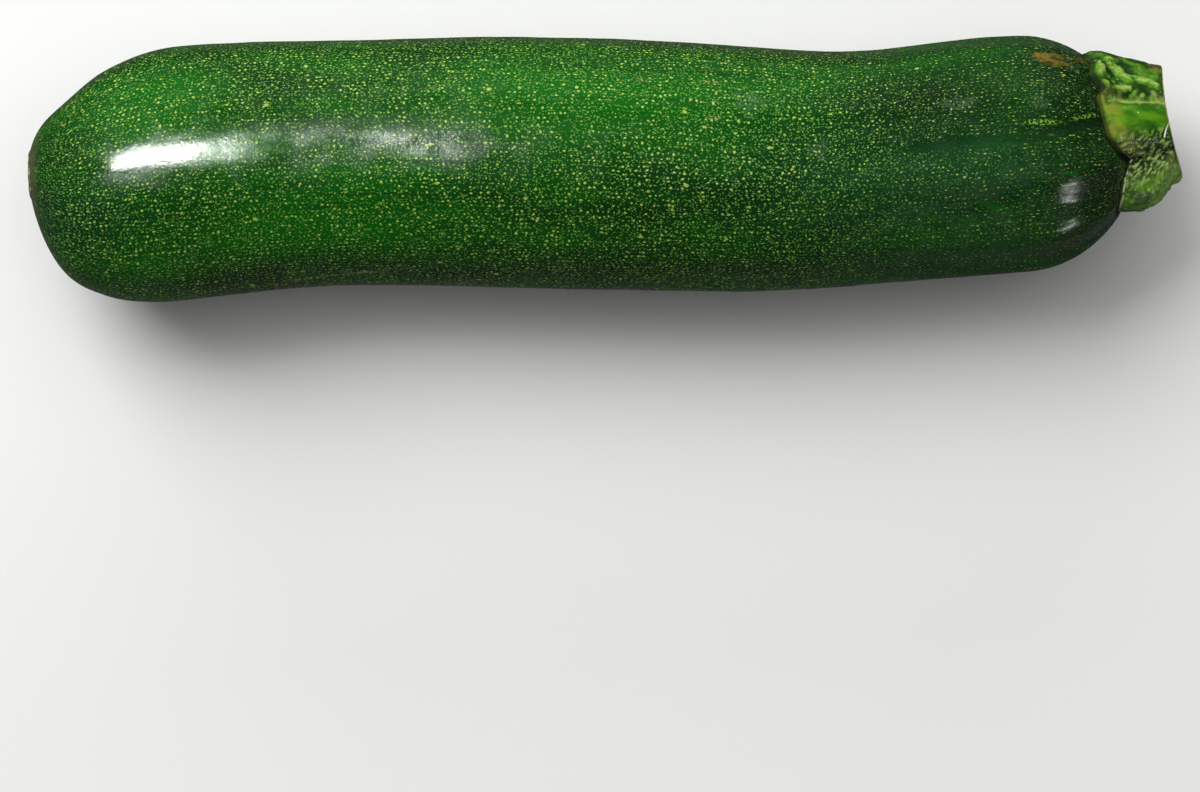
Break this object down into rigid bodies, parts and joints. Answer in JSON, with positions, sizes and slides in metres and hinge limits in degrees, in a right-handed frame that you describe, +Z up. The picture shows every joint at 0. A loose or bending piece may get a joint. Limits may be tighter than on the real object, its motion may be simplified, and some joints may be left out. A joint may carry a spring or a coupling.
{
  "type": "zucchini",
  "caption": "Long round-sectioned green zucchini lying on its side, gently bowed, with faint lengthwise ribs and a cut ridged stem.",
  "frame": {"origin": "on the resting surface, under the middle of the bounding box", "axes": "+X along the fruit towards the stem, +Y across it, +Z up from the resting surface"},
  "size_m": [0.2173, 0.0503, 0.0477],
  "materials": {
    "skin": "satin",
    "stem": "satin"
  },
  "bodies": {
    "root": {"fruit": "skin", "stem": "stem"}
  },
  "joints": []
}
